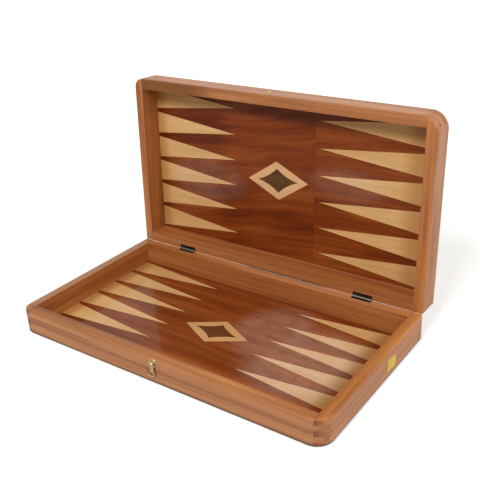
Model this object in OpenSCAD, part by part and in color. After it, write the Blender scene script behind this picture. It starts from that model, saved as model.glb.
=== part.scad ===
// Folding chess and backgammon case: two equal wooden halves hinged along one long edge, shown open.
// Millimetres, +Z up. The origin is the middle of the lower half's underside; the hinge runs along X at the back.

/* [Case] */
// side of one chess square
square = 43; // [38:1:50]
// dark margin round the squares of each half
border = 18; // [15:1:24]
// height of one half
half_h = 31; // [27:1:40]
// thickness of the four walls
wall_t = 11.5; // [10:0.5:13]
// width of the wall's edge that shows on the underside, outside the let-in panel
edge_w = 8.5; // [8.5:0.5:9.5]
// plan radius of the front corner on the left
left_corner_r = 11; // [8:1:18]
// plan radius of the front corner on the right
right_corner_r = 18; // [8:1:18]
// plan radius of the two corners beside the hinges
back_corner_r = 2; // [1:0.5:4]
// radius along the chess face's edge at the front and the sides
base_r = 4; // [1.5:0.5:4]
// radius along the rim's outer edge at the front and the sides
rim_r = 2; // [0.5:0.25:2.5]
// radius along the two edges that meet at the hinge line
hinge_edge_r = 0.1; // [0.1:0.1:1]
// fingers in each corner joint, counted down from the rim
fingers = 5; // [3, 5, 7]
// thickness of the core board
core_t = 3.6; // [3:0.2:5]
// thickness of every veneer
veneer_t = 0.7; // [0.5:0.1:1]

/* [Opening] */
// angle between the two rims, 0 closed and 180 flat
lid_open = 92; // [0:1:180]

/* [Points] */
// distance of the lower half's point tips from the middle
tip_x = 56; // [40:1:80]
// dark gap between two neighbouring point bases
point_gap = 4.5; // [2:0.5:8]
// distance from the tips to the seam of the middle veneer
seam_in = 6; // [2:1:12]
// sideways shift of the upper half's points and seams
lid_points_shift = -6; // [-8:1:8]

/* [Diamond] */
// length of the light diamond along the case
diamond_l = 80; // [60:1:90]
// width of the light diamond
diamond_w = 45.5; // [36:0.5:60]
// length of the dark heart
heart_l = 54; // [30:0.5:56]
// width of the dark heart
heart_w = 29; // [18:0.5:32]
// hollow of the heart's sides
heart_sag = 2; // [0.4:0.2:2.4]
// turn of the lower half's diamond in its bed
tray_diamond_turn = 2.5; // [-5:0.5:5]
// turn of the upper half's diamond in its bed
lid_diamond_turn = 4; // [-5:0.5:5]
// sideways shift of the lower half's diamond
tray_diamond_shift = -1.5; // [-5:0.5:5]
// sideways shift of the upper half's diamond
lid_diamond_shift = -4; // [-5:0.5:5]

/* [Hinges] */
// distance of each hinge's middle from the middle of the case
hinge_x = 120.5; // [90:0.5:130]
// length of a hinge along its pin
hinge_l = 23; // [20:1:32]
// depth of a leaf let into the rim
leaf_in = 5.2; // [5:0.1:7]
// thickness of a leaf
leaf_t = 1; // [0.8:0.1:1.2]
// radius of the knuckles
knuckle_r = 1.4; // [1.2:0.1:1.6]
// radius of the hinge pin
pin_r = 0.7; // [0.5:0.1:0.8]

/* [Catch] */
// height of the hook's pivot on the lower half
pivot_z = 24.5; // [22:0.5:24.5]
// distance from the hook's pivot to the middle of its mouth
hook_reach = 11.1; // [11.1:0.1:13]
// thickness of the hook
hook_t = 1.2; // [0.8:0.1:1.6]

/* [Paper slip] */
// length of the yellow slip
slip_l = 18; // [10:1:24]
// width of the yellow slip
slip_w = 12.5; // [6:0.5:14]

/* [Hidden] */
$fn = 96;
case_l = 8 * square + 2 * border;
case_d = 4 * square + 2 * border;
front_y = -case_d / 2;
back_y = case_d / 2;
floor_z = core_t + 2 * veneer_t;
rebate_z = core_t + veneer_t;
in_x = case_l / 2 - wall_t;
in_y = case_d / 2 - wall_t;
panel_x = case_l / 2 - edge_w;
panel_y = case_d / 2 - edge_w;
field_x = 4 * square;
field_y = 2 * square;
square_cut = square - 0.2;
finger_h = half_h / fingers;
point_pitch = 2 * in_y / 6;
point_base = point_pitch - point_gap;
rim_gap = 0.05;
axis_out = 0.05;
play = 0.3;
axis_y = back_y + axis_out;
axis_z = half_h + rim_gap;
knuckle_gap = 0.3;
knuckle_l = (hinge_l - 2 * knuckle_gap) / 3;
leaf_w = leaf_in + axis_out - knuckle_r - play;
leaf_screw_x = hinge_l / 2 - 4.5;
leaf_screw_y = back_y - leaf_in + leaf_w / 2;
screw_r = 0.8;
screw_head_r = 1.5;
screw_len = 8;
rosette_r = 5;
rosette_t = 0.8;
pivot_r = 1.3;
stud_z = 2 * axis_z - pivot_z - hook_reach;
mouth_r = pivot_r + 0.45;
hook_r = 3.4;
shank_w = 4.2;
slip_t = 0.2;
slip_y = 29;
slip_z = 15.5;
slip_turn = -8;

rim_wood = [0.66, 0.40, 0.22];
side_wood = [0.70, 0.48, 0.34];
field_wood = [0.45, 0.20, 0.10];
light_wood = [0.80, 0.63, 0.40];
heart_wood = [0.27, 0.16, 0.08];
steel = [0.16, 0.15, 0.15];
brass = [0.74, 0.62, 0.34];
yellow = [0.88, 0.72, 0.16];

// Placement of the upper half: every half is drawn as the lower one, then mirrored over the hinge line and swung.
module lid_place() {
  translate([0, axis_y, axis_z])
    rotate([180 - lid_open, 0, 0])
      mirror([0, 1, 0])
        translate([0, -axis_y, -axis_z])
          children();
}

// Section of the case's outer edge, w wide: rounded below by base_r and at the rim by rim_r.
module edge_profile(w) {
  intersection() {
    square([w, half_h]);
    union() {
      translate([0, base_r]) square([w, half_h - base_r - rim_r]);
      square([w - base_r, base_r]);
      translate([w - base_r, base_r]) circle(r = base_r);
      translate([0, half_h - rim_r]) square([w - rim_r, rim_r]);
      translate([w - rim_r, half_h - rim_r]) circle(r = rim_r);
    }
  }
}

// Edge bar along the right side, from a front corner of radius r to past the back.
module side_bar(r) {
  w = max(left_corner_r, right_corner_r);
  translate([case_l / 2 - w, back_y + 1, 0])
    rotate([90, 0, 0]) linear_extrude(case_d + 1 - r) edge_profile(w);
}

// Block rounded at the front and the sides: two corner posts, three edge bars and the core.
module front_form() {
  w = max(left_corner_r, right_corner_r);
  left = left_corner_r - case_l / 2;
  right = case_l / 2 - right_corner_r;
  translate([left, front_y + left_corner_r, 0]) rotate_extrude() edge_profile(left_corner_r);
  translate([right, front_y + right_corner_r, 0]) rotate_extrude() edge_profile(right_corner_r);
  translate([left, front_y + w, 0]) rotate([90, 0, 90]) linear_extrude(right - left) mirror([1, 0]) edge_profile(w);
  side_bar(right_corner_r);
  mirror([1, 0, 0]) side_bar(left_corner_r);
  translate([w - case_l / 2, front_y + w, 0]) cube([case_l - 2 * w, case_d - w + 1, half_h]);
}

// Upright block that rounds the plan's two back corners.
module back_corner_form() {
  x = case_l / 2 - back_corner_r;
  y = back_y - back_corner_r;
  translate([0, 0, -1])
    linear_extrude(half_h + 2) {
      translate([-case_l / 2, front_y - 1]) square([case_l, y - front_y + 1]);
      translate([-x, front_y - 1]) square([2 * x, case_d + 1]);
      for (s = [-1, 1])
        translate([s * x, y]) circle(r = back_corner_r);
    }
}

// Block along the case that rounds the two edges at the hinge line.
module hinge_edge_form() {
  translate([-case_l / 2 - 1, 0, 0])
    rotate([90, 0, 90])
      linear_extrude(case_l + 2) {
        translate([front_y - 1, 0]) square([case_d + 1 - hinge_edge_r, half_h]);
        translate([front_y - 1, hinge_edge_r]) square([case_d + 1, half_h - 2 * hinge_edge_r]);
        for (z = [hinge_edge_r, half_h - hinge_edge_r])
          translate([back_y - hinge_edge_r, z]) circle(r = hinge_edge_r);
      }
}

// Outer form of one half as a full block.
module case_block() {
  intersection() {
    front_form();
    back_corner_form();
    hinge_edge_form();
  }
}

// Slices of a corner joint: n counts the fingers down from the rim.
module finger_slices(first, x, y, sx, sy) {
  for (n = [first : 2 : fingers - 1]) {
    low = half_h - (n + 1) * finger_h - (n == fingers - 1 ? 1 : 0);
    high = half_h - n * finger_h + (n == 0 ? 1 : 0);
    translate([x, y, low]) cube([sx, sy, high - low]);
  }
}

// Space of a side wall: it owns the rim finger and every second one below.
module side_zone() {
  translate([in_x, -in_y, -1]) cube([wall_t + 1, 2 * in_y, half_h + 2]);
  finger_slices(0, in_x, in_y, wall_t + 1, wall_t + 1);
  finger_slices(0, in_x, front_y - 1, wall_t + 1, wall_t + 1);
}

// Space of the front or back wall: it fills the fingers that the side walls leave.
module long_zone() {
  translate([-in_x, in_y, -1]) cube([2 * in_x, wall_t + 1, half_h + 2]);
  finger_slices(1, in_x, in_y, wall_t + 1, wall_t + 1);
  finger_slices(1, -case_l / 2 - 1, in_y, wall_t + 1, wall_t + 1);
}

// Seat of the panel in the underside of the frame.
module rebate() {
  translate([-panel_x, -panel_y, -1]) cube([2 * panel_x, 2 * panel_y, rebate_z + 1]);
}

// Side wall: s is 0 for the right one and 1 for the left one.
module side_wall(s) {
  difference() {
    intersection() {
      case_block();
      mirror([s, 0, 0]) side_zone();
    }
    rebate();
  }
}

module front_wall(hole_z) {
  difference() {
    intersection() {
      case_block();
      mirror([0, 1, 0]) long_zone();
    }
    rebate();
    translate([0, front_y - 1, hole_z]) rotate([-90, 0, 0]) cylinder(r = pivot_r, h = screw_len + 1);
  }
}

module back_wall() {
  difference() {
    intersection() {
      case_block();
      long_zone();
    }
    rebate();
    for (s = [-1, 1])
      translate([s * hinge_x, 0, 0]) hinge_seat();
  }
}

module panel() {
  translate([-panel_x, -panel_y, veneer_t]) cube([2 * panel_x, 2 * panel_y, core_t]);
}

module chess_border() {
  linear_extrude(veneer_t)
    difference() {
      square([2 * panel_x, 2 * panel_y], center = true);
      square([2 * field_x, 2 * field_y], center = true);
    }
}

// Light squares of one half's 4 by 8 field. first is 0 or 1: it starts the front row light or dark, so that
// the two halves go on alternating across the hinge line.
module light_squares(first) {
  for (i = [0 : 7], j = [0 : 3])
    if ((i + j) % 2 == first)
      translate([(i - 3.5) * square, (j - 1.5) * square]) square(square_cut, center = true);
}

module chess_light(first) {
  linear_extrude(veneer_t) light_squares(first);
}

module chess_dark(first) {
  linear_extrude(veneer_t)
    difference() {
      square([2 * field_x, 2 * field_y], center = true);
      light_squares(first);
    }
}

// Six points of the right end, their tips at x = tip.
module points_right_2d(tip) {
  for (i = [0 : 5])
    translate([0, (i - 2.5) * point_pitch])
      polygon([[in_x, -point_base / 2], [in_x, point_base / 2], [tip, 0]]);
}

module points(s, tip) {
  translate([0, 0, rebate_z]) linear_extrude(veneer_t) mirror([s, 0]) points_right_2d(tip);
}

// Dark end veneer from the seam to the wall, with the points cut out.
module field_end(s, tip) {
  translate([0, 0, rebate_z])
    linear_extrude(veneer_t)
      mirror([s, 0])
        difference() {
          translate([tip - seam_in, -in_y]) square([in_x - tip + seam_in, 2 * in_y]);
          points_right_2d(tip);
        }
}

module rhombus(l, w) {
  polygon([[-l / 2, 0], [0, -w / 2], [l / 2, 0], [0, w / 2]]);
}

// Four-pointed heart: a rhombus whose sides are hollowed by large circles.
module heart_2d() {
  side = sqrt(heart_l * heart_l + heart_w * heart_w) / 2;
  big_r = (side * side / 4 + heart_sag * heart_sag) / (2 * heart_sag);
  out = big_r - heart_sag;
  across = atan2(heart_l, heart_w);
  difference() {
    rhombus(heart_l, heart_w);
    for (sx = [-1, 1], sy = [-1, 1])
      translate([sx * (heart_l / 4 + out * cos(across)), sy * (heart_w / 4 + out * sin(across))])
        circle(r = big_r, $fn = 360);
  }
}

module field_middle(left, right, shift, turn) {
  translate([0, 0, rebate_z])
    linear_extrude(veneer_t)
      difference() {
        translate([left, -in_y]) square([right - left, 2 * in_y]);
        translate([shift, 0]) rotate(turn) rhombus(diamond_l, diamond_w);
      }
}

module diamond(shift, turn) {
  translate([shift, 0, rebate_z])
    rotate(turn)
      linear_extrude(veneer_t)
        difference() {
          rhombus(diamond_l, diamond_w);
          heart_2d();
        }
}

module heart(shift, turn) {
  translate([shift, 0, rebate_z]) rotate(turn) linear_extrude(veneer_t) heart_2d();
}

// Bed of a leaf in the rim, with room for the knuckles and pilot holes for the screws.
module hinge_seat() {
  translate([-hinge_l / 2, back_y - leaf_in, half_h - leaf_t]) cube([hinge_l, leaf_in + 1, leaf_t + 1]);
  translate([-hinge_l / 2 - 2 * play, axis_y, axis_z])
    rotate([0, 90, 0]) cylinder(r = knuckle_r + 0.4, h = hinge_l + 4 * play);
  for (s = [-1, 1])
    translate([s * leaf_screw_x, leaf_screw_y, half_h - screw_len])
      cylinder(r = screw_r, h = screw_len);
}

// One leaf with its knuckles: ks lists them along the pin, -1 and 1 the outer two and 0 the middle one.
module leaf(ks, bore_r) {
  difference() {
    union() {
      translate([-hinge_l / 2, back_y - leaf_in, half_h - leaf_t])
        cube([hinge_l, leaf_w, leaf_t]);
      for (k = ks)
        translate([k * (knuckle_l + knuckle_gap) - knuckle_l / 2, 0, 0]) {
          translate([0, axis_y - knuckle_r - play - 0.5, half_h - leaf_t])
            cube([knuckle_l, knuckle_r + play + 0.5, leaf_t]);
          translate([0, axis_y, axis_z]) rotate([0, 90, 0]) cylinder(r = knuckle_r, h = knuckle_l);
        }
    }
    translate([-hinge_l, axis_y, axis_z]) rotate([0, 90, 0]) cylinder(r = bore_r, h = 2 * hinge_l);
    for (s = [-1, 1])
      translate([s * leaf_screw_x, leaf_screw_y, half_h - leaf_t]) {
        translate([0, 0, -1]) cylinder(r = screw_r, h = leaf_t + 2);
        cylinder(r1 = screw_r, r2 = screw_head_r, h = leaf_t);
        translate([0, 0, leaf_t]) cylinder(r = screw_head_r, h = 1);
      }
  }
}

module hinge_pin() {
  translate([-hinge_l / 2 - 0.1, axis_y, axis_z]) rotate([0, 90, 0]) cylinder(r = pin_r, h = hinge_l + 0.2);
}

// Two countersunk screws of one leaf, their slotted heads flush with it.
module leaf_screws() {
  for (s = [-1, 1])
    translate([s * leaf_screw_x, leaf_screw_y, half_h])
      difference() {
        union() {
          translate([0, 0, -leaf_t]) cylinder(r1 = screw_r, r2 = screw_head_r, h = leaf_t);
          translate([0, 0, 1 - screw_len]) cylinder(r = screw_r, h = screw_len - 1 - leaf_t);
          translate([0, 0, -screw_len + 0.1]) cylinder(r1 = 0.2, r2 = screw_r, h = 0.9);
        }
        rotate(s * 35) translate([-screw_head_r, -0.2, -0.35]) cube([2 * screw_head_r, 0.4, 1]);
      }
}

// Things on the front face are drawn upright: x along the case, y up, z out of the face.
module on_front(z) {
  translate([0, front_y, z]) rotate([90, 0, 0]) children();
}

// Pressed washer with a raised middle.
module rosette(r) {
  difference() {
    union() {
      cylinder(r1 = r, r2 = r - 0.4, h = rosette_t / 2);
      cylinder(r = r * 0.62, h = rosette_t);
    }
    translate([0, 0, -1]) cylinder(r = pivot_r, h = 3);
  }
}

// Domed head of radius r and height h standing on z = 0.
module dome(r, h) {
  ball = (r * r + h * h) / (2 * h);
  rotate_extrude()
    intersection() {
      translate([0, h - ball]) circle(r = ball, $fn = 180);
      square([r, h]);
    }
}

module hook_2d() {
  difference() {
    union() {
      circle(r = hook_r + 0.3);
      translate([-shank_w / 2, -hook_reach]) square([shank_w, hook_reach]);
      translate([0, -hook_reach]) circle(r = hook_r);
      thumb_tab();
    }
    circle(r = pivot_r + 0.15);
    translate([0, -hook_reach]) circle(r = mouth_r);
    intersection() {
      difference() {
        circle(r = hook_reach + mouth_r);
        circle(r = hook_reach - mouth_r);
      }
      translate([-20, -25]) square([20, 25]);
    }
  }
}

// Curved tab below the mouth, that leads the stud in and that a thumb pushes.
module thumb_tab() {
  low = hook_reach + mouth_r;
  high = hook_reach + hook_r;
  turn = 42;
  intersection() {
    difference() {
      circle(r = high);
      circle(r = low);
    }
    polygon([[0, 0], [0, -30], [-30 * tan(turn), -30]]);
  }
  rotate(-turn) translate([0, -(low + high) / 2]) circle(r = (high - low) / 2);
}

module hook() {
  translate([0, 0, rosette_t + play]) linear_extrude(hook_t) hook_2d();
}

module catch_pin(head_r) {
  neck = rosette_t + hook_t + 2 * play;
  difference() {
    union() {
      translate([0, 0, neck]) dome(head_r, 1.2);
      translate([0, 0, -screw_len + 0.5]) cylinder(r = pivot_r, h = screw_len - 0.5 + neck);
    }
    translate([-head_r, -0.25, neck + 0.75]) cube([2 * head_r, 0.5, 1]);
  }
}

module paper_slip() {
  translate([case_l / 2, slip_y, slip_z])
    rotate([slip_turn, 0, 0])
      translate([0, -slip_l / 2, -slip_w / 2])
        cube([slip_t, slip_l, slip_w]);
}

color(side_wood) front_wall(pivot_z);  // tray_front_wall
color(side_wood) back_wall();  // tray_back_wall
color(rim_wood) side_wall(1);  // tray_left_wall
color(rim_wood) side_wall(0);  // tray_right_wall
color(side_wood) panel();  // tray_panel
color(heart_wood) chess_border();  // tray_chess_border
color(field_wood) chess_dark(0);  // tray_chess_dark
color(light_wood) chess_light(0);  // tray_chess_light
color(field_wood) field_end(1, tip_x);  // tray_field_left
color(field_wood) field_middle(seam_in - tip_x, tip_x - seam_in, tray_diamond_shift, tray_diamond_turn);  // tray_field_middle
color(field_wood) field_end(0, tip_x);  // tray_field_right
color(light_wood) points(1, tip_x);  // tray_points_left
color(light_wood) points(0, tip_x);  // tray_points_right
color(light_wood) diamond(tray_diamond_shift, tray_diamond_turn);  // tray_diamond
color(heart_wood) heart(tray_diamond_shift, tray_diamond_turn);  // tray_heart

color(side_wood) lid_place() front_wall(stud_z);  // lid_front_wall
color(side_wood) lid_place() back_wall();  // lid_back_wall
color(rim_wood) lid_place() side_wall(1);  // lid_left_wall
color(rim_wood) lid_place() side_wall(0);  // lid_right_wall
color(side_wood) lid_place() panel();  // lid_panel
color(heart_wood) lid_place() chess_border();  // lid_chess_border
color(field_wood) lid_place() chess_dark(1);  // lid_chess_dark
color(light_wood) lid_place() chess_light(1);  // lid_chess_light
color(field_wood) lid_place() field_end(1, tip_x - lid_points_shift);  // lid_field_left
color(field_wood) lid_place()  // lid_field_middle
    field_middle(seam_in - tip_x + lid_points_shift, tip_x - seam_in + lid_points_shift,
      lid_diamond_shift, -lid_diamond_turn);
color(field_wood) lid_place() field_end(0, tip_x + lid_points_shift);  // lid_field_right
color(light_wood) lid_place() points(1, tip_x - lid_points_shift);  // lid_points_left
color(light_wood) lid_place() points(0, tip_x + lid_points_shift);  // lid_points_right
color(light_wood) lid_place() diamond(lid_diamond_shift, -lid_diamond_turn);  // lid_diamond
color(heart_wood) lid_place() heart(lid_diamond_shift, -lid_diamond_turn);  // lid_heart

color(steel) translate([-hinge_x, 0, 0]) leaf([-1, 1], pin_r);  // hinge_left_tray_leaf
color(steel) lid_place() translate([-hinge_x, 0, 0]) leaf([0], pin_r + 0.05);  // hinge_left_lid_leaf
color(steel) translate([-hinge_x, 0, 0]) hinge_pin();  // hinge_left_pin
color(steel) translate([hinge_x, 0, 0]) leaf([-1, 1], pin_r);  // hinge_right_tray_leaf
color(steel) lid_place() translate([hinge_x, 0, 0]) leaf([0], pin_r + 0.05);  // hinge_right_lid_leaf
color(steel) translate([hinge_x, 0, 0]) hinge_pin();  // hinge_right_pin
color(steel) translate([-hinge_x, 0, 0]) leaf_screws();  // hinge_left_tray_screws
color(steel) lid_place() translate([-hinge_x, 0, 0]) leaf_screws();  // hinge_left_lid_screws
color(steel) translate([hinge_x, 0, 0]) leaf_screws();  // hinge_right_tray_screws
color(steel) lid_place() translate([hinge_x, 0, 0]) leaf_screws();  // hinge_right_lid_screws

color(brass) on_front(pivot_z) rosette(rosette_r);  // catch_rosette
color(brass) on_front(pivot_z) hook();  // catch_hook
color(brass) on_front(pivot_z) catch_pin(2.6);  // catch_screw
color(brass) lid_place() on_front(stud_z) rosette(rosette_r - 2);  // stud_rosette
color(brass) lid_place() on_front(stud_z) catch_pin(2.4);  // stud
color(yellow) paper_slip();
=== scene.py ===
"""Looks of the folding chess and backgammon case: woods, metals, paper, light, floor and camera."""

import math

import bpy
from mathutils import Matrix, Vector

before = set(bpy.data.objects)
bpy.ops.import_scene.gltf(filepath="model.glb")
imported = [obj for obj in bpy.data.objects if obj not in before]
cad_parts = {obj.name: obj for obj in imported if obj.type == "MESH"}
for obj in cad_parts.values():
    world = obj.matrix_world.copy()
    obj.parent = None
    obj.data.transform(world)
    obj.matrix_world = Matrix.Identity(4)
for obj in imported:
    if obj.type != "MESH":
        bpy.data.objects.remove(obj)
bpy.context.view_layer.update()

# Sizes of the CAD model, in metres, and how far its upper half is open, in degrees
CASE_L, CASE_D, HALF_H = 0.380, 0.208, 0.031
WALL_T, FINGERS = 0.0115, 5
IN_X, IN_Y = CASE_L / 2 - WALL_T, CASE_D / 2 - WALL_T
SQUARE, FIELD_X, FIELD_Y = 0.043, 0.172, 0.086
AXIS_Y, AXIS_Z, KNUCKLE_R = 0.10405, 0.03105, 0.0014
LID_OPEN = 92
LID_TURN = math.radians(180 - LID_OPEN)
LID_SIN, LID_COS = math.sin(LID_TURN), math.cos(LID_TURN)
POINTS_A_SIDE = 6
POINT_PITCH = 2 * IN_Y / POINTS_A_SIDE
TIP_X, SEAM_IN, LID_SHIFT = 0.056, 0.006, -0.006

# Half the width over which a painted border turns from one side to the other
EDGE = 0.0001


class Graph:
    """The node tree of a material or the world, with a short call for each kind of node.

    Values are sockets or numbers.
    """

    def __init__(self, owner):
        owner.use_nodes = True
        self.owner, self.tree = owner, owner.node_tree
        self.tree.nodes.clear()

    def node(self, kind, inputs=(), **props):
        n = self.tree.nodes.new(kind)
        for k, v in props.items():
            setattr(n, k, v)
        for k, v in dict(inputs).items():
            if isinstance(v, bpy.types.NodeSocket):
                self.tree.links.new(v, n.inputs[k])
            else:
                n.inputs[k].default_value = v
        return n

    def math(self, op, a, b=0.0, c=0.0, clamp=False):
        return self.node("ShaderNodeMath", {0: a, 1: b, 2: c}, operation=op, use_clamp=clamp).outputs[0]

    def add(self, a, *others):
        for b in others:
            a = self.math("ADD", a, b)
        return a

    def mul(self, a, *others):
        for b in others:
            a = self.math("MULTIPLY", a, b)
        return a

    def larger(self, a, b):
        return self.math("MAXIMUM", a, b)

    def absolute(self, a):
        return self.math("ABSOLUTE", a)

    def lin(self, a, k, c):
        """a times k, plus c."""
        return self.math("MULTIPLY_ADD", a, k, c)

    def rest(self, a):
        """1 less a."""
        return self.lin(a, -1.0, 1.0)

    def vec(self, x, y, z):
        return self.node("ShaderNodeCombineXYZ", {0: x, 1: y, 2: z}).outputs[0]

    def xyz(self, kind="Object"):
        """The three parts of a texture coordinate."""
        return self.node("ShaderNodeSeparateXYZ", {0: self.node("ShaderNodeTexCoord").outputs[kind]}).outputs

    def smooth(self, a, lo, hi):
        """0 at lo and 1 at hi, smooth in between and level beyond; lo may be the larger."""
        first, last = (0.0, 1.0) if lo < hi else (1.0, 0.0)
        inputs = {0: a, 1: min(lo, hi), 2: max(lo, hi), 3: first, 4: last}
        return self.node("ShaderNodeMapRange", inputs, interpolation_type="SMOOTHSTEP").outputs[0]

    def near(self, a, at, width):
        """1 close to at, 0 beyond width on either side."""
        return self.smooth(self.absolute(self.add(a, -at)), width, width * 0.3)

    def noise(self, v, detail=2.0, rough=0.5):
        return self.node("ShaderNodeTexNoise",
                         {"Vector": v, "Scale": 1.0, "Detail": detail, "Roughness": rough}).outputs[0]

    def even_noise(self, point, scale, detail=2.0, rough=0.5):
        """Noise alike in all directions, with scale in cycles per metre."""
        return self.noise(self.vec(*(self.mul(k, scale) for k in point)), detail, rough)

    def mix(self, part, a, b):
        """Colour a with a share of colour b over it."""
        n = self.node("ShaderNodeMix", data_type="RGBA")
        for k, v in ((0, part), (6, a), (7, b)):
            if isinstance(v, bpy.types.NodeSocket):
                self.tree.links.new(v, n.inputs[k])
            else:
                n.inputs[k].default_value = v if k == 0 else (*v, 1.0)
        return n.outputs[2]

    def ramp(self, part, *stops):
        n = self.node("ShaderNodeValToRGB", {0: part})
        elements = n.color_ramp.elements
        while len(elements) < len(stops):
            elements.new(0.5)
        for e, (at, colour) in zip(elements, stops):
            e.position, e.color = at, (*colour, 1.0)
        return n.outputs[0]

    def bump(self, height, distance, strength):
        return self.node("ShaderNodeBump",
                         {"Height": height, "Distance": distance, "Strength": strength}).outputs[0]

    def finish(self, colour, roughness, normal=None, metallic=0.0, coat=0.0, coat_rough=0.1, specular=0.5):
        """Ends a material in its shader, and returns the material."""
        ins = {"Base Color": colour, "Roughness": roughness, "Metallic": metallic, "Coat Weight": coat,
               "Coat Roughness": coat_rough, "IOR": 1.5, "Specular IOR Level": specular}
        if normal is not None:
            ins["Normal"] = normal
        shader = self.node("ShaderNodeBsdfPrincipled", ins)
        self.node("ShaderNodeOutputMaterial", {0: shader.outputs[0]})
        return self.owner


def new_material(name):
    return Graph(bpy.data.materials.new(name))


def half_coords(g, half):
    """Coordinates along the case, across it and up from its chess face, the same in both halves.

    Across is positive on the hinge side, and the rim is at HALF_H.
    """
    x, y, z = g.xyz()
    if half == "tray":
        return x, y, z
    dy, dz = g.add(y, -AXIS_Y), g.add(z, -AXIS_Z)
    across = g.add(g.mul(dy, -LID_COS), g.lin(dz, -LID_SIN, AXIS_Y))
    up = g.add(g.mul(dy, -LID_SIN), g.lin(dz, LID_COS, AXIS_Z))
    return x, across, up


def end_facing(g, half, run):
    """1 where a surface faces along its wall, so that it shows end grain, and 0 where it faces across it."""
    nx, ny, nz = g.xyz("Normal")
    if run == "long":
        return g.mul(nx, nx)
    if half == "lid":
        ny = g.add(g.mul(ny, -LID_COS), g.mul(nz, -LID_SIN))
    return g.mul(ny, ny)


# Each wood: dark, middle and light tone as linear colours, the periods of its streaks and broad bands along
# and across the grain in metres, the weights of streaks, bands and fibre, and how strong its pores are
WOODS = {
    "mahogany": dict(tones=((0.115, 0.018, 0.003), (0.215, 0.042, 0.006), (0.330, 0.083, 0.016)),
                     streak=(0.13, 0.0085), broad=(0.20, 0.026), weights=(0.80, 0.50, 0.20), pores=0.45),
    "maple": dict(tones=((0.490, 0.262, 0.088), (0.650, 0.380, 0.152), (0.750, 0.475, 0.220)),
                  streak=(0.09, 0.0030), broad=(0.12, 0.016), weights=(0.42, 0.45, 0.22), pores=0.18),
    "walnut": dict(tones=((0.050, 0.020, 0.006), (0.100, 0.042, 0.012), (0.160, 0.075, 0.024)),
                   streak=(0.06, 0.0035), broad=(0.10, 0.012), weights=(0.55, 0.45, 0.30), pores=0.45),
    "wall": dict(tones=((0.235, 0.062, 0.013), (0.440, 0.152, 0.038), (0.560, 0.228, 0.072)),
                 streak=(0.16, 0.0042), broad=(0.22, 0.015), weights=(0.85, 0.75, 0.22), pores=0.35),
    "core": dict(tones=((0.380, 0.200, 0.090), (0.460, 0.260, 0.120), (0.520, 0.310, 0.150)),
                 streak=(0.06, 0.0010), broad=(0.10, 0.010), weights=(0.60, 0.30, 0.22), pores=0.1),
}

# Scales of the grain along and across it, in cycles per metre
WAVE_SCALE, FIBRE_SCALE, PORE_SCALE = (7.0, 14.0), (60.0, 1500.0), (220.0, 1900.0)

# Contrast of the streaks and bands, and the share of a wood's dark tone that its pores have
CONTRAST, PORE_SHADE = 2.2, 0.45

# Each finish: roughness of the wood, weight and roughness of the clear coat, and specular level
LACQUER = {
    "tray": (0.38, 0.34, 0.07, 0.1),
    "lid": (0.38, 0.08, 0.07, 0.1),
    "chess": (0.38, 0.16, 0.16, 0.1),
    "wall": (0.45, 0.15, 0.25, 0.2),
    "core": (0.7, 0.0, 0.3, 0.2),
}

# Depth of the wood's relief, in metres
RELIEF = 0.00004


def drawn_noise(g, point, scale, shift, detail=2.0, rough=0.5):
    """Noise drawn out along the grain; scale and shift are along and across it."""
    u, v, w = point
    along, across = scale
    place = g.vec(g.lin(u, along, shift[0]), g.lin(v, across, shift[1]), g.mul(w, across))
    return g.noise(place, detail, rough)


def wood_grain(g, wood, u, v, w, seed, wave=0.003, tilt=0.0):
    """Tone (0 to 1), fibre and pore mask of a board whose grain runs along u."""
    look = WOODS[wood]
    if tilt:
        v = g.add(v, g.mul(u, tilt))
    slow = drawn_noise(g, (u, v, w), WAVE_SCALE, (seed, 0.0))
    point = (u, g.add(v, g.mul(g.add(slow, -0.5), wave)), w)
    along, across = look["streak"]
    streak = drawn_noise(g, point, (1 / along, 1 / across), (seed, 0.0), 4.0, 0.6)
    along, across = look["broad"]
    broad = drawn_noise(g, point, (1 / along, 1 / across), (seed * 2, 0.0))
    fibre = drawn_noise(g, point, FIBRE_SCALE, (0.0, seed), 2.0, 0.7)
    pore = drawn_noise(g, point, PORE_SCALE, (0.0, seed * 3), 1.0)
    streaks, bands, fibres = look["weights"]
    tone = g.add(g.lin(g.add(streak, -0.5), CONTRAST * streaks, 0.5),
                 g.mul(g.add(broad, -0.5), CONTRAST * bands), g.mul(g.add(fibre, -0.5), fibres))
    return tone, fibre, g.mul(g.smooth(pore, 0.60, 0.72), look["pores"])


def wood_colour(g, wood, tone, pore):
    dark, middle, light = WOODS[wood]["tones"]
    colour = g.ramp(tone, (0.0, dark), (0.5, middle), (1.0, light))
    return g.mix(pore, colour, tuple(k * PORE_SHADE for k in dark))


def lacquer(g, kind, colour, fibre, pore):
    """Wood with a fine relief and an uneven sheen, under a clear coat where its finish has one."""
    rough, coat, coat_rough, specular = LACQUER[kind]
    relief = g.add(fibre, g.mul(pore, -1.5))
    return g.finish(colour, g.lin(g.add(fibre, -0.5), 0.2, rough), g.bump(relief, RELIEF, 0.5),
                    coat=coat, coat_rough=coat_rough, specular=specular)


def spot(g, point, centre, size):
    """1 in the middle of an oval, 0 outside it."""
    a = g.mul(g.add(point[0], -centre[0]), 1 / size[0])
    b = g.mul(g.add(point[1], -centre[1]), 1 / size[1])
    return g.smooth(g.math("SQRT", g.add(g.mul(a, a), g.mul(b, b))), 1.0, 0.45)


def cell_random(g, index, seed):
    """A steady random number from 0 to 1 for each whole index."""
    return g.node("ShaderNodeTexWhiteNoise", {"W": g.add(index, seed)}, noise_dimensions="1D").outputs[0]


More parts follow.
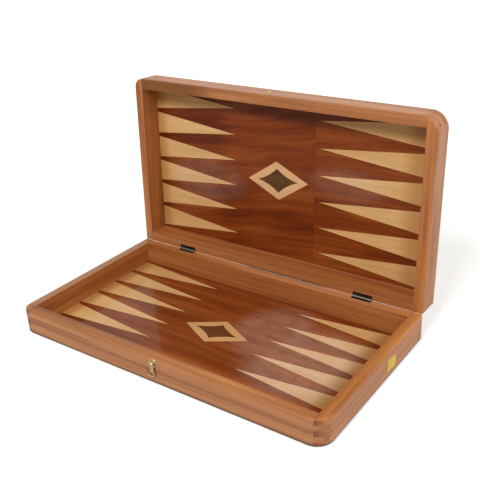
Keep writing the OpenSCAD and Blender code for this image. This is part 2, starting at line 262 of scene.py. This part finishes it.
# Tints painted over the walls, as linear colours
TINT = {
    # Painted sheen, which makes the outer faces paler than the rims
    "outside": (0.430, 0.215, 0.115),
    # Painted shade, which makes the inner faces darker and redder
    "inside": (0.300, 0.095, 0.025),
    # Painted contact shadow along the lower edge of the lower half
    "base_shadow": (0.085, 0.040, 0.022),
    "corner_dark": (0.225, 0.052, 0.014),
    # Painted shade where the two halves meet at the hinges
    "gap": (0.050, 0.011, 0.001),
    "glue": (0.110, 0.035, 0.012),
    "lid_rim": (0.260, 0.115, 0.060),
    "lid_top_left": (0.160, 0.050, 0.010),
    # Painted highlight at the foot of the upper half's lower wall
    "lid_foot_highlight": (0.620, 0.270, 0.140),
    # Painted light on the upper part of the upper half's right wall
    "lid_right_rim_light": (0.750, 0.330, 0.100),
    "lid_right_face_light": (0.700, 0.400, 0.260),
    "tray_front_inside": (0.150, 0.055, 0.020),
    "tray_front_left": (0.190, 0.060, 0.008),
    # Painted light on the lower half's back rim
    "tray_back_lit": (0.620, 0.270, 0.125),
    "tray_left": (0.290, 0.155, 0.095),
    "tray_right": (0.600, 0.250, 0.078),
}
END_GRAIN = (0.35, (0.150, 0.042, 0.014)), (0.65, (0.270, 0.088, 0.030))
WALL_SEED = {"tray": 3.7, "lid": 11.3}

# Marks on the lower half's front face: heights of its dark line and of the shade round it, and its knot
LINE_Z, SHADE_Z = 0.0165, 0.0185
KNOT, KNOT_SIZE = (0.096, 0.0178), (0.0030, 0.0013)


def inner_face(g, a, at):
    """1 up to the inner faces of the two walls that stand this far from the middle, 0 beyond them."""
    return g.smooth(g.absolute(a), at + 0.0006, at + 0.0001)


def front_marks(g, x, y, z):
    """What the dark line, its shade and the knot add to the tone of the lower half's front face."""
    front = g.smooth(y, -CASE_D / 2 + 0.0015, -CASE_D / 2 + 0.0004)
    wave = g.noise(g.vec(g.mul(x, 9.0), 0.3, 0.7), 1.0)
    height = g.add(z, g.lin(wave, 0.0016, -0.0008))
    strength = g.lin(g.noise(g.vec(g.mul(x, 30.0), 1.3, 0.0)), 1.1, 0.55)
    line = g.mul(g.near(height, LINE_Z, 0.0022), strength)
    shade = g.mul(g.near(height, SHADE_Z, 0.0060), g.lin(g.smooth(x, -0.02, -0.15), 0.40, 0.05))
    knot = spot(g, (x, z), KNOT, KNOT_SIZE)
    return g.mul(front, g.add(g.mul(g.add(line, shade), -1.05), g.mul(knot, -1.2)))


def dark_corner_patch(g, x, y, z):
    """1 in the dark patch on the lower half's rim at the left front corner."""
    cloud = g.noise(g.vec(g.mul(x, 260.0), g.mul(y, 260.0), 0.0), 2.0, 0.6)
    area = g.larger(spot(g, (x, y), (-0.176, -0.095), (0.014, 0.006)),
                    spot(g, (x, y), (-0.162, -0.0955), (0.013, 0.0042)))
    return g.mul(area, g.smooth(cloud, 0.30, 0.50), g.smooth(z, HALF_H - 0.004, HALF_H - 0.001))


def hinge_gap(g, rim, x, y):
    """1 in the painted shade, a dark line along the middle of the rims where the two halves meet."""
    return g.mul(rim, g.smooth(y, CASE_D / 2 - 0.0019, CASE_D / 2 - 0.0010),
                 g.smooth(x, -0.040, -0.022), g.smooth(x, 0.086, 0.060))


def tint_lid_long(g, colour, x, y, z, inner, rim):
    """Upper half: greyer rims, dark top left corner, painted highlight at the foot of the lower wall, painted
    shade where the halves meet at the hinges.
    """
    colour = g.mix(g.mul(rim, 0.32), colour, TINT["lid_rim"])
    top_left = g.mul(rim, g.smooth(x, -0.060, -0.110), g.smooth(y, 0.02, -0.02))
    colour = g.mix(g.mul(top_left, 0.80), colour, TINT["lid_top_left"])
    # Painted highlight along the foot of the lower wall, where it meets the field
    foot = g.mul(inner, g.smooth(y, 0.0, 0.01), g.smooth(z, 0.0110, 0.0065), g.smooth(x, -0.07, 0.0))
    colour = g.mix(g.mul(foot, 0.35), colour, TINT["lid_foot_highlight"])
    # Painted shade where the two halves meet
    return g.mix(g.mul(hinge_gap(g, rim, x, y), 0.80), colour, TINT["gap"])


def tint_lid_side(g, colour, x, y, z, inner, rim):
    """Upper half: slightly greyer rims, and painted light on the upper part of the right wall's rim and face.
    """
    colour = g.mix(g.mul(rim, 0.15), colour, TINT["lid_rim"])
    # Painted light on the upper part of the right wall
    upper = g.mul(g.smooth(x, -0.05, 0.05), g.smooth(y, 0.020, -0.050))
    colour = g.mix(g.mul(rim, upper, 0.18), colour, TINT["lid_right_rim_light"])
    face = g.mul(g.rest(inner), g.smooth(z, HALF_H - 0.0005, HALF_H - 0.004))
    return g.mix(g.mul(face, upper, 0.25), colour, TINT["lid_right_face_light"])


def tint_tray_long(g, colour, x, y, rim):
    """Lower half: front rim darker inside and at the left, painted light on the back rim, painted shade where
    the halves meet at the hinges.
    """
    front, back = g.smooth(y, 0.01, -0.01), g.smooth(y, -0.01, 0.01)
    edge = g.mul(rim, g.smooth(g.absolute(y), IN_Y + 0.0048, IN_Y + 0.0004), g.smooth(x, 0.02, -0.06))
    colour = g.mix(g.mul(edge, front, 0.60), colour, TINT["tray_front_inside"])
    end = g.mul(rim, front, g.smooth(x, -0.080, -0.120))
    colour = g.mix(g.mul(end, 0.38), colour, TINT["tray_front_left"])
    # Painted light on the back rim
    lit = g.mul(rim, back, g.smooth(x, -0.10, 0.02), g.smooth(x, 0.17, 0.07))
    colour = g.mix(g.mul(lit, 0.40), colour, TINT["tray_back_lit"])
    # Painted shade where the two halves meet
    return g.mix(g.mul(hinge_gap(g, rim, x, y), 0.50), colour, TINT["gap"])


def tint_tray_side(g, colour, x, y, rim):
    """Lower half: greyer left rim, warmer right rim."""
    left, right = g.smooth(x, 0.05, -0.05), g.smooth(x, -0.05, 0.05)
    colour = g.mix(g.mul(rim, left, 0.55), colour, TINT["tray_left"])
    return g.mix(g.mul(rim, right, g.lin(g.smooth(y, -0.080, 0.080), 0.32, 0.14)), colour, TINT["tray_right"])


# Shares of the tints that every wall has: painted sheen on the outer faces, painted shade on the inner faces,
# end grain and glue lines
OUTSIDE_SHEEN_PART = {("lid", "long"): 0.15, ("lid", "side"): 0.40,
                ("tray", "long"): 0.40, ("tray", "side"): 0.40}
INSIDE_SHADE_PART = {"long": 0.45, "side": 0.28}
END_GRAIN_PART = {("lid", "long"): 0.30, ("lid", "side"): 0.30,
                  ("tray", "long"): 0.25, ("tray", "side"): 0.95}
GLUE_PART = {"tray": 0.45, "lid": 0.25}


def finger_joints(g, colour, half, run, x, y, z):
    """End grain and dark glue lines of the finger joints, over the wall's colour."""
    ax, ay = g.absolute(x), g.absolute(y)
    beyond_x, beyond_y = g.smooth(ax, IN_X - EDGE, IN_X + EDGE), g.smooth(ay, IN_Y - EDGE, IN_Y + EDGE)
    corner = g.mul(beyond_x, beyond_y)
    below = g.smooth(z, HALF_H - 0.0003, HALF_H - 0.0008)
    ends = g.mul(g.smooth(end_facing(g, half, run), 0.15, 0.85), corner, below)
    dots = g.even_noise((x, y, z), 1500.0, 1.0)
    colour = g.mix(g.mul(ends, END_GRAIN_PART[half, run]), colour, g.ramp(dots, *END_GRAIN))
    finger = g.math("FRACT", g.mul(g.add(z, -HALF_H), FINGERS / HALF_H))
    lines = g.mul(g.near(g.absolute(g.add(finger, -0.5)), 0.5, 0.04), corner, below)
    butt = g.mul(g.near(ax, IN_X, 0.0003), beyond_y)
    return g.mix(g.mul(g.larger(lines, butt), GLUE_PART[half]), colour, TINT["glue"])


def wall_material(half, run):
    """Solid walls: the long ones have their grain along the case, the side ones across it."""
    g = new_material(f"{half}_{run}_wall_wood")
    x, y, z = half_coords(g, half)
    u, v = (y, x) if run == "side" else (x, y)
    tone, fibre, pore = wood_grain(g, "wall", u, v, z, WALL_SEED[half], 0.0024)
    inner = inner_face(g, x, IN_X)
    if run == "long":
        inner = g.mul(inner, inner_face(g, y, IN_Y))
    if (half, run) == ("tray", "long"):
        tone = g.add(tone, front_marks(g, x, y, z))
    colour = wood_colour(g, "wall", tone, pore)
    if half == "tray":
        # A darker patch on the rim at the left front corner
        colour = g.mix(g.mul(dark_corner_patch(g, x, y, z), 0.75), colour, TINT["corner_dark"])
    outer = g.rest(inner)
    top = HALF_H + 0.005 if (half, run) == ("tray", "long") else HALF_H
    # Painted sheen: the outer faces below the rim are made paler
    pale = g.mul(outer, g.smooth(z, top, HALF_H - 0.006))
    colour = g.mix(g.mul(pale, OUTSIDE_SHEEN_PART[half, run]), colour, TINT["outside"])
    # Painted shade on the inner faces
    colour = g.mix(g.mul(inner, INSIDE_SHADE_PART[run]), colour, TINT["inside"])
    rim = g.mul(outer, g.smooth(z, HALF_H - 0.004, HALF_H - 0.0005))
    if half == "lid":
        tint = tint_lid_long if run == "long" else tint_lid_side
        colour = tint(g, colour, x, y, z, inner, rim)
    else:
        tint = tint_tray_long if run == "long" else tint_tray_side
        colour = tint(g, colour, x, y, rim)
        # Painted contact shadow along the lower edge, where the lower half stands on the table
        colour = g.mix(g.mul(g.smooth(z, 0.0056, 0.0032), 0.85), colour, TINT["base_shadow"])
    colour = finger_joints(g, colour, half, run, x, y, z)
    return lacquer(g, "wall", colour, fibre, pore)


# Colours painted over the inlay inside the case: a painted pale reflection, and painted shade at the walls
# and under the lid's top wall; the points' shade at the walls has its share beside it
REFLECTION_TINT = (0.90, 0.70, 0.58)
FIELD_SHADE, FIELD_TOP_SHADE, SEAM = (0.090, 0.014, 0.002), (0.030, 0.006, 0.002), (0.045, 0.012, 0.005)
POINT_SHADE = {"tray": ((0.360, 0.150, 0.030), 0.80), "lid": ((0.380, 0.165, 0.038), 0.60)}
POINT_TOP_SHADE = (0.200, 0.075, 0.014)

# How much of the shade at the end walls the long walls have
LONG_WALL_PART = {"tray": 0.8, "lid": 0.3}


def beside_walls(g, x, y, half):
    """1 at the foot of the inner walls, where shade is painted, and 0 away from them; it reaches further at
    the right.
    """
    ends = g.larger(g.smooth(x, IN_X - 0.038, IN_X - 0.014), g.smooth(x, 0.019 - IN_X, 0.003 - IN_X))
    along = g.mul(g.smooth(g.absolute(y), IN_Y - 0.011, IN_Y - 0.001), LONG_WALL_PART[half])
    return g.larger(ends, along)


def under_top(g, y):
    """1 in the strip below the lid's top wall, where part of the shade in the photograph is painted."""
    return g.smooth(y, -0.066, -0.076)


def painted_reflection(g, x, y, half):
    """Where a painted pale reflection lies on the lacquer.

    It is right of the middle in the lower half, and left and right in the upper.
    """
    cloud = g.noise(g.vec(g.mul(x, 45.0), g.mul(y, 45.0), 4.0), 3.0, 0.6)
    grain = g.noise(g.vec(g.mul(x, 900.0), g.mul(y, 900.0), 2.0), 2.0, 0.7)
    if half == "tray":
        zone = g.larger(g.mul(spot(g, (x, y), (0.055, 0.030), (0.060, 0.068)), 0.75),
                        g.mul(spot(g, (x, y), (0.112, -0.004), (0.082, 0.083)), 0.92))
    else:
        zone = g.mul(g.larger(spot(g, (x, y), (-0.105, 0.014), (0.070, 0.036)),
                              spot(g, (x, y), (0.085, -0.010), (0.060, 0.026))), 0.32)
    return g.mul(zone, g.mul(g.lin(cloud, 1.8, -0.02), g.lin(grain, 0.8, 0.6)))


def seams(half):
    """Place and darkness of the two glue lines between a half's veneers."""
    shift = LID_SHIFT if half == "lid" else 0.0
    return (shift - TIP_X + SEAM_IN, 0.10), (shift + TIP_X - SEAM_IN, 0.35 if half == "lid" else 0.10)


def field_grain(half, part):
    """Seed, tilt and wave of a sheet's grain, which runs on over each seam but the upper half's right one."""
    if half == "tray":
        return 7.9, 0.03, 0.006
    if part == "right":
        return 21.1, 0.03, 0.006
    return 24.9, 0.16, 0.030


def field_tones(g, half, part, x, y):
    """How far a sheet is lighter or darker from place to place, as terms to add to its tone."""
    if half == "tray":
        return (g.lin(g.smooth(y, 0.010, 0.050), 0.12, 0.07),
                g.mul(g.smooth(y, -0.040, -0.075), g.smooth(x, -0.020, -0.070), -0.30))
    if part == "right":
        return ()
    low = g.smooth(y, 0.008, 0.026)
    if part == "middle":
        return (g.mul(low, g.lin(x, 2.2, -0.17)),
                g.mul(g.smooth(y, 0.066, 0.084), g.smooth(x, -0.062, -0.030), 0.26),
                g.mul(g.smooth(x, -0.030, 0.0), -0.05))
    return (g.mul(g.smooth(y, -0.008, -0.028), g.smooth(x, -0.062, -0.095), -0.36),
            g.mul(low, g.smooth(x, -0.115, -0.062), -0.29))


def field_material(half, part):
    """Glossy mahogany sheet, with a dark glue line at the seams."""
    g = new_material(f"{half}_field_{part}_wood")
    x, y, z = half_coords(g, half)
    seed, tilt, wave = field_grain(half, part)
    tone, fibre, pore = wood_grain(g, "mahogany", x, y, z, seed, wave, tilt)
    fleck = g.noise(g.vec(g.lin(x, 420.0, seed), g.mul(y, 1100.0), 0.0), 1.0)
    tone = g.add(tone, *field_tones(g, half, part, x, y), g.mul(g.smooth(fleck, 0.62, 0.74), 0.22))
    colour = wood_colour(g, "mahogany", tone, pore)
    # Painted pale reflection over the lacquer
    colour = g.mix(g.mul(painted_reflection(g, x, y, half), 0.17), colour, REFLECTION_TINT)
    foot = 0.65 if half == "tray" else g.lin(g.smooth(x, -0.05, 0.05), -0.50, 0.85)
    colour = g.mix(g.mul(beside_walls(g, x, y, half), foot), colour, FIELD_SHADE)
    if half == "lid":
        colour = g.mix(g.mul(under_top(g, y), 0.45), colour, FIELD_TOP_SHADE)
    for at, dark in seams(half):
        colour = g.mix(g.mul(g.near(x, at, 0.0006), dark), colour, SEAM)
    return lacquer(g, half, colour, fibre, pore)


POINT_SEED = {"tray": 5.0, "lid": 61.0}


def point_material(half):
    """Maple points: each one cut from its own piece of veneer."""
    g = new_material(f"{half}_points_wood")
    x, y, z = half_coords(g, half)
    row = g.math("FLOOR", g.mul(g.add(y, IN_Y), 1 / POINT_PITCH))
    rnd = cell_random(g, g.add(row, g.mul(g.math("SIGN", x), 20.0)), POINT_SEED[half])
    tone, fibre, pore = wood_grain(g, "maple", x, g.add(y, g.mul(rnd, 3.0)), z, 2.2, 0.004, 0.04)
    colour = wood_colour(g, "maple", g.add(tone, g.lin(rnd, 0.16, -0.03)), pore)
    # Painted pale reflection over the lacquer
    colour = g.mix(g.mul(painted_reflection(g, x, y, half), 0.40), colour, REFLECTION_TINT)
    shade, part = POINT_SHADE[half]
    colour = g.mix(g.mul(beside_walls(g, x, y, half), part), colour, shade)
    if half == "lid":
        colour = g.mix(g.mul(under_top(g, y), 0.32), colour, POINT_TOP_SHADE)
    return lacquer(g, half, colour, fibre, pore)


# Seed and added tone of a diamond's wood, and the colour and share that even it out
DIAMOND_SEED = {"tray": 5.6, "lid": 9.1}
DIAMOND_TONE = {"maple": 0.08, "walnut": 0.0}
DIAMOND_TINT = {("lid", "maple"): ((0.69, 0.40, 0.215), 0.55), ("tray", "maple"): ((0.55, 0.27, 0.115), 0.55),
                ("tray", "walnut"): ((0.155, 0.040, 0.007), 0.45)}


def diamond_material(half, wood):
    """The light diamond in maple, or its dark heart in walnut."""
    g = new_material(f"{half}_{wood}_diamond_wood")
    x, y, z = half_coords(g, half)
    tone, fibre, pore = wood_grain(g, wood, x, y, z, DIAMOND_SEED[half], 0.003, 0.1)
    colour = wood_colour(g, wood, g.add(tone, DIAMOND_TONE[wood]), pore)
    if (half, wood) in DIAMOND_TINT:
        tint, part = DIAMOND_TINT[half, wood]
        colour = g.mix(part, colour, tint)
    return lacquer(g, half, colour, fibre, pore)


CHESS_SEED = {"tray": 3.0, "lid": 71.0}
MITRE = (0.02, 0.008, 0.004)


def chess_material(half, light):
    """Chess squares, each of its own piece of veneer and a little lighter or darker than the next."""
    g = new_material(f"{half}_{'light' if light else 'dark'}_squares_wood")
    x, y, z = half_coords(g, half)
    i = g.math("FLOOR", g.mul(g.add(x, FIELD_X), 1 / SQUARE))
    j = g.math("FLOOR", g.mul(g.add(y, FIELD_Y), 1 / SQUARE))
    rnd = cell_random(g, g.add(g.mul(i, 4.0), j), CHESS_SEED[half])
    wood = "maple" if light else "mahogany"
    tone, fibre, pore = wood_grain(g, wood, x, g.add(y, g.mul(rnd, 4.0)), z, 6.4, 0.005, 0.05)
    colour = wood_colour(g, wood, g.add(tone, g.lin(rnd, 0.36, -0.18)), pore)
    return lacquer(g, "chess", colour, fibre, pore)


def border_material(half):
    """Dark border, mitred at its corners."""
    g = new_material(f"{half}_border_wood")
    x, y, z = half_coords(g, half)
    past_x = g.add(g.absolute(x), -FIELD_X)
    past_y = g.add(g.absolute(y), -FIELD_Y)
    beyond = g.add(past_x, g.mul(past_y, -1.0))
    ends = g.smooth(beyond, -EDGE, EDGE)
    sides = g.rest(ends)
    along = wood_grain(g, "walnut", x, y, z, 8.8)
    across = wood_grain(g, "walnut", y, x, z, 2.8)
    tone, fibre, pore = (g.add(g.mul(p, sides), g.mul(q, ends)) for p, q in zip(along, across))
    mitre = g.mul(g.near(beyond, 0.0, 0.0004), g.smooth(past_x, 0.0, 0.0005))
    colour = g.mix(g.mul(mitre, 0.7), wood_colour(g, "walnut", tone, pore), MITRE)
    return lacquer(g, "chess", colour, fibre, pore)


def core_material(half):
    """The board between the two faces of a half."""
    g = new_material(f"{half}_core_wood")
    tone, fibre, pore = wood_grain(g, "core", *half_coords(g, half), 1.1)
    return lacquer(g, "core", wood_colour(g, "core", tone, pore), fibre, pore)


def hinge_material(half):
    """Blackened steel, worn bright along the knuckles."""
    g = new_material(f"{half}_hinge_steel")
    x, y, z = half_coords(g, half)
    dy, dz = g.add(y, -AXIS_Y), g.add(z, -AXIS_Z)
    reach = g.math("SQRT", g.add(g.mul(dy, dy), g.mul(dz, dz)))
    knuckle = g.smooth(reach, KNUCKLE_R + 0.0003, KNUCKLE_R - 0.0001)
    cloud = g.even_noise((x, y, z), 900.0, 3.0, 0.6)
    wear = g.math("MULTIPLY", knuckle, g.lin(cloud, 0.9, 0.05), clamp=True)
    black = g.ramp(cloud, (0.3, (0.020, 0.018, 0.017)), (0.7, (0.065, 0.058, 0.050)))
    colour = g.mix(wear, black, (0.40, 0.37, 0.32))
    return g.finish(colour, g.lin(cloud, 0.25, 0.28), g.bump(cloud, 0.00003, 0.4), metallic=1.0)


def screw_material():
    """Dark steel, uneven in tone."""
    g = new_material("screw_steel")
    cloud = g.even_noise(g.xyz(), 1500.0)
    colour = g.ramp(cloud, (0.35, (0.030, 0.027, 0.024)), (0.65, (0.10, 0.09, 0.075)))
    return g.finish(colour, g.lin(cloud, 0.2, 0.25), metallic=1.0)


def brass_material():
    """Thin brass, unevenly tarnished and finely brushed."""
    g = new_material("catch_brass")
    x, y, z = g.xyz()
    cloud = g.even_noise((x, y, z), 500.0, 3.0, 0.6)
    brush = g.noise(g.vec(g.mul(x, 300.0), g.mul(y, 300.0), g.mul(z, 5000.0)))
    colour = g.ramp(cloud, (0.30, (0.34, 0.24, 0.115)), (0.55, (0.60, 0.45, 0.24)),
                    (0.80, (0.82, 0.66, 0.44)))
    return g.finish(colour, g.lin(brush, 0.18, 0.32), g.bump(brush, 0.00002, 0.5), metallic=1.0)


def paper_material():
    """Plain yellow paper with a faint fibre."""
    g = new_material("yellow_paper")
    point = g.xyz()
    fibre = g.even_noise(point, 2200.0, 3.0, 0.7)
    cloud = g.even_noise(point, 160.0)
    colour = g.ramp(g.add(g.mul(fibre, 0.4), g.mul(cloud, 0.6)),
                    (0.30, (0.60, 0.38, 0.030)), (0.70, (0.76, 0.52, 0.050)))
    return g.finish(colour, 0.55, g.bump(fibre, 0.00003, 0.4))


def paint(node, material):
    """Puts the material on every face of a CAD node."""
    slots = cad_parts[node].data.materials
    slots.clear()
    slots.append(material)


def paint_half(half, screws):
    """Paints one half with its leaves and screws of the hinges; the pins go with the lower half."""
    steel = hinge_material(half)
    points = point_material(half)
    for run, names in (("long", ("front", "back")), ("side", ("left", "right"))):
        wood = wall_material(half, run)
        for name in names:
            paint(f"{half}_{name}_wall", wood)
    paint(f"{half}_panel", core_material(half))
    paint(f"{half}_chess_border", border_material(half))
    paint(f"{half}_chess_dark", chess_material(half, False))
    paint(f"{half}_chess_light", chess_material(half, True))
    for part in ("left", "middle", "right"):
        paint(f"{half}_field_{part}", field_material(half, part))
    for name in ("left", "right"):
        paint(f"{half}_points_{name}", points)
        paint(f"hinge_{name}_{half}_leaf", steel)
        paint(f"hinge_{name}_{half}_screws", screws)
    paint(f"{half}_diamond", diamond_material(half, "maple"))
    paint(f"{half}_heart", diamond_material(half, "walnut"))
    if half == "tray":
        for name in ("left", "right"):
            paint(f"hinge_{name}_pin", steel)


screw_steel, brass = screw_material(), brass_material()
for half in ("tray", "lid"):
    paint_half(half, screw_steel)
for name in ("catch_rosette", "catch_hook", "catch_screw", "stud_rosette", "stud"):
    paint(name, brass)
paint("paper_slip", paper_material())

# Floor: white to the camera, plain and pale to the object, and it keeps the object's shadow
FLOOR_R = 12.0
FLOOR_LIFT, FAR_LIFT = 0.42, 0.45
FLOOR_PALE = (0.0, (0.84, 0.84, 0.84)), (1.0, (0.86, 0.86, 0.86))


def floor_material():
    """Pale paint, which glows a little to the camera alone, and more so away from the object."""
    g = new_material("floor_white")
    x, y, z = g.xyz()
    ray = g.node("ShaderNodeLightPath").outputs
    pale = g.node("ShaderNodeBsdfDiffuse", {0: g.ramp(g.noise(g.vec(x, y, z)), *FLOOR_PALE)})
    away = g.smooth(g.math("SQRT", g.add(g.mul(x, x), g.mul(y, y))), 0.35, 1.6)
    glow = g.mul(ray["Is Camera Ray"], g.lin(away, FAR_LIFT, FLOOR_LIFT))
    lift = g.node("ShaderNodeEmission", {0: (1, 1, 1, 1), 1: glow})
    both = g.node("ShaderNodeAddShader", {0: pale.outputs[0], 1: lift.outputs[0]})
    g.node("ShaderNodeOutputMaterial", {0: both.outputs[0]})
    return g.owner


floor_corners = [(FLOOR_R * x, FLOOR_R * y, 0) for x, y in ((-1, -1), (1, -1), (1, 1), (-1, 1))]
mesh = bpy.data.meshes.new("floor")
mesh.from_pydata(floor_corners, [], [(0, 1, 2, 3)])
floor = bpy.data.objects.new("floor", mesh)
bpy.context.scene.collection.objects.link(floor)
floor.data.materials.append(floor_material())

# World: soft warm light from all round, brighter in reflections, and plain white to the camera
WORLD_LIGHT = 0.28
WARM, WHITE = (1.0, 0.97, 0.88), (1.0, 1.0, 1.0)


def world_light():
    """An even world, whose level and colour depend only on the kind of ray."""
    g = Graph(bpy.data.worlds.new("studio"))
    ray = g.node("ShaderNodeLightPath").outputs
    seen = g.larger(ray["Is Camera Ray"], g.larger(ray["Is Glossy Ray"], ray["Is Transmission Ray"]))
    level = g.node("ShaderNodeMapRange", {0: seen, 3: WORLD_LIGHT, 4: 1.0}).outputs[0]
    back = g.node("ShaderNodeBackground", {0: g.mix(ray["Is Camera Ray"], WARM, WHITE), 1: level})
    g.node("ShaderNodeOutputWorld", {0: back.outputs[0]})
    return g.owner


def area_light(name, place, aim, size, power):
    """A white rectangular lamp that faces a point, with its power in watts."""
    light = bpy.data.lights.new(name, "AREA")
    light.shape, light.size, light.size_y = "RECTANGLE", *size
    light.energy = power
    obj = bpy.data.objects.new(name, light)
    obj.location = place
    obj.rotation_euler = (Vector(aim) - Vector(place)).to_track_quat("-Z", "Y").to_euler()
    bpy.context.scene.collection.objects.link(obj)


bpy.context.scene.world = world_light()

# The lamps, which all face one point above the middle of the lower half
AIM = (0, 0, 0.08)
area_light("key", (0.15, -1.25, 1.46), AIM, (0.62, 0.62), 24.0)
area_light("fill", (1.5, 0.25, 0.9), AIM, (1.2, 1.0), 12.5)
area_light("back", (-0.8, 1.5, 1.3), AIM, (1.0, 1.0), 4.0)

# Camera, fitted to the wall edges and the inlay of the photograph
CAM_PLACE = Vector((0.4342249, -0.5478180, 0.4382002))
CAM_RIGHT = Vector((0.8195745, 0.5714297, -0.0420210))
CAM_UP = Vector((-0.2102219, 0.3681136, 0.9057037))
CAM_AHEAD = Vector((-0.5330145, 0.7334579, -0.4218236))
camera = bpy.data.cameras.new("camera")
camera.lens, camera.sensor_width, camera.sensor_fit = 56.509, 36.0, "HORIZONTAL"
camera.clip_start, camera.clip_end = 0.01, 100.0
cam = bpy.data.objects.new("camera", camera)
cam_turn = Matrix((CAM_RIGHT, CAM_UP, -CAM_AHEAD)).transposed().to_4x4()
cam.matrix_world = Matrix.Translation(CAM_PLACE) @ cam_turn
bpy.context.scene.collection.objects.link(cam)
bpy.context.scene.camera = cam
bpy.context.scene.view_settings.view_transform = "Standard"
